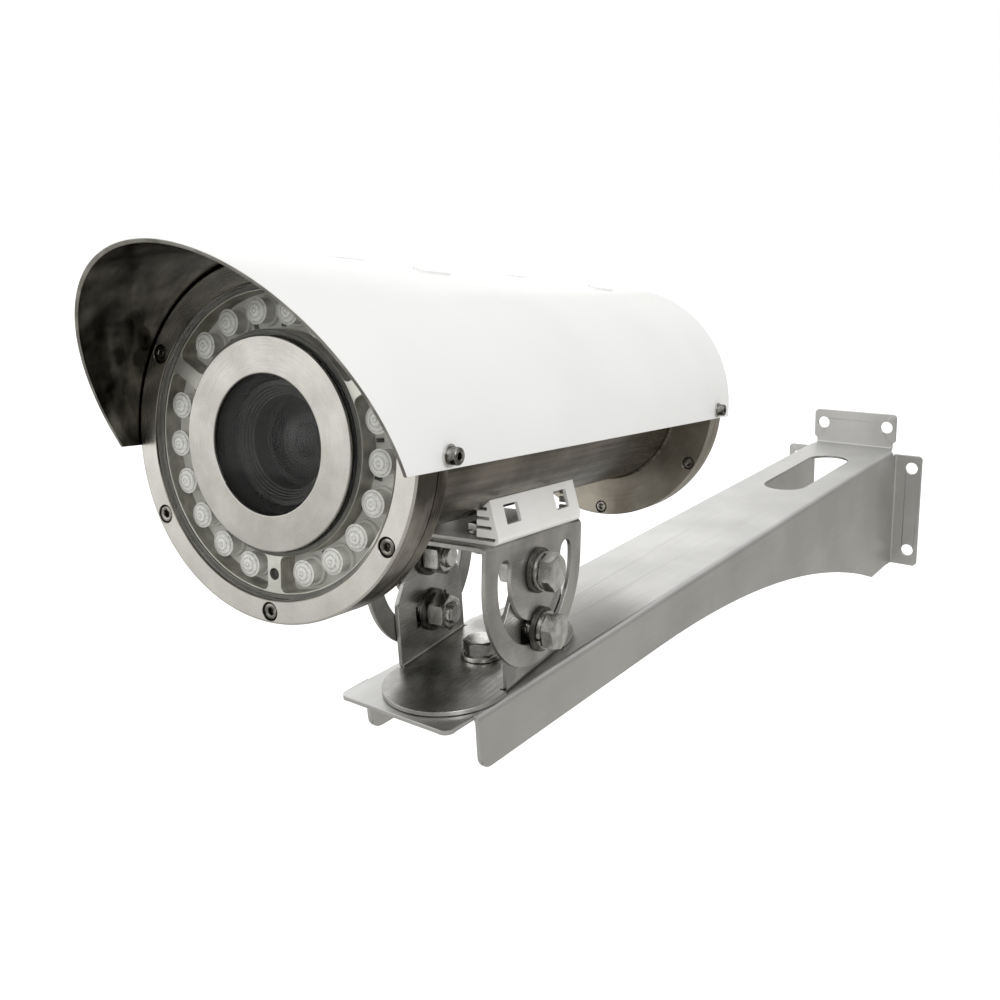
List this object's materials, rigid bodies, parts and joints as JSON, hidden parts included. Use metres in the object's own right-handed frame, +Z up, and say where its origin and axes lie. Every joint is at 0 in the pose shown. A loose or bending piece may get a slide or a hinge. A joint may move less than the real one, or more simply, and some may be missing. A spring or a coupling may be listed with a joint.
{
  "type": "security camera housing",
  "caption": "Round stainless camera housing with a white sunshield, infrared lamp ring, tilt yoke and folded wall arm.",
  "frame": {"origin": "centre of the four wall bolts in the wall plane", "axes": "+Z up, +Y into the wall, the arm runs out along -Y"},
  "size_m": [0.1987, 0.7578, 0.3495],
  "materials": {
    "stainless_arm": "fine satin stainless sheet",
    "stainless_swivel": "satin stainless sheet",
    "stainless_yoke": "smoky polished stainless sheet",
    "stainless_cradle": "bright electropolished stainless sheet",
    "stainless_turned": "fine turned stainless",
    "stainless_tube": "circumferentially brushed stainless",
    "stainless_hardware": "cold formed stainless",
    "dark_washer": "dark serrated spring steel",
    "white_shield": "gloss white powder coat",
    "white_plastic": "gloss moulded",
    "window_glass": "clear polished",
    "lens_glass": "coated polished",
    "lamp_lens": "milky moulded",
    "lamp_holder": "moulded",
    "lamp_plate": "satin moulded",
    "circuit_board": "solder mask",
    "chip": "matt moulded",
    "black_housing": "matt black moulded",
    "black_rubber": "matt",
    "tray_aluminium": "mill",
    "nickel_brass": "nickel plated"
  },
  "bodies": {
    "bracket": {"wall_arm": "stainless_arm", "pan_bolt": "stainless_hardware", "pan_nut": "stainless_hardware", "pan_washers": "stainless_hardware"},
    "swivel": {"swivel_bracket": "stainless_swivel", "tilt_bolts": "stainless_hardware", "tilt_nuts": "stainless_hardware", "tilt_washers": "stainless_hardware", "tilt_lock_washers": "dark_washer"},
    "head": {"tilt_yoke": "stainless_yoke", "cradle": "stainless_cradle", "cradle_bolts": "stainless_hardware", "cradle_nuts": "stainless_hardware", "cradle_washers": "stainless_hardware", "front_bezel": "stainless_turned", "bezel_screws": "stainless_hardware", "front_ring": "stainless_turned", "front_gasket": "black_rubber", "housing_tube": "stainless_tube", "window_glass": "window_glass", "window_seal": "black_rubber", "centre_ring": "stainless_turned", "lens_shroud": "black_housing", "lamp_frame": "lamp_plate", "lamp_board": "circuit_board", "lamp_lenses": "lamp_lens", "lamp_holders": "lamp_holder", "lamp_resistors": "chip", "light_sensor": "chip", "lens_barrel": "black_housing", "lens_element": "lens_glass", "camera_block": "black_housing", "camera_tray": "tray_aluminium", "control_board": "circuit_board", "board_posts": "tray_aluminium", "board_parts": "chip", "rear_ring": "stainless_turned", "rear_gasket": "black_rubber", "rear_screws": "stainless_hardware", "rear_cover": "stainless_turned", "gland_bodies": "nickel_brass", "gland_nuts": "nickel_brass", "gland_caps": "nickel_brass", "gland_inserts": "black_rubber", "sunshield": "white_shield", "shield_plugs": "white_plastic", "shield_screws": "stainless_hardware", "shield_washers": "stainless_hardware", "shield_pads": "black_rubber"}
  },
  "joints": [
    {"name": "pan", "type": "hinge", "parent": "bracket", "child": "swivel", "pos_m": [0, -0.564, 0.057], "axis": [0, 0, 1], "range_deg": [-97.7, 82.3]},
    {"name": "tilt", "type": "hinge", "parent": "swivel", "child": "head", "pos_m": [0, -0.564, 0.115], "axis": [0.991, 0.134, 0], "range_deg": [-10, 58]}
  ]
}
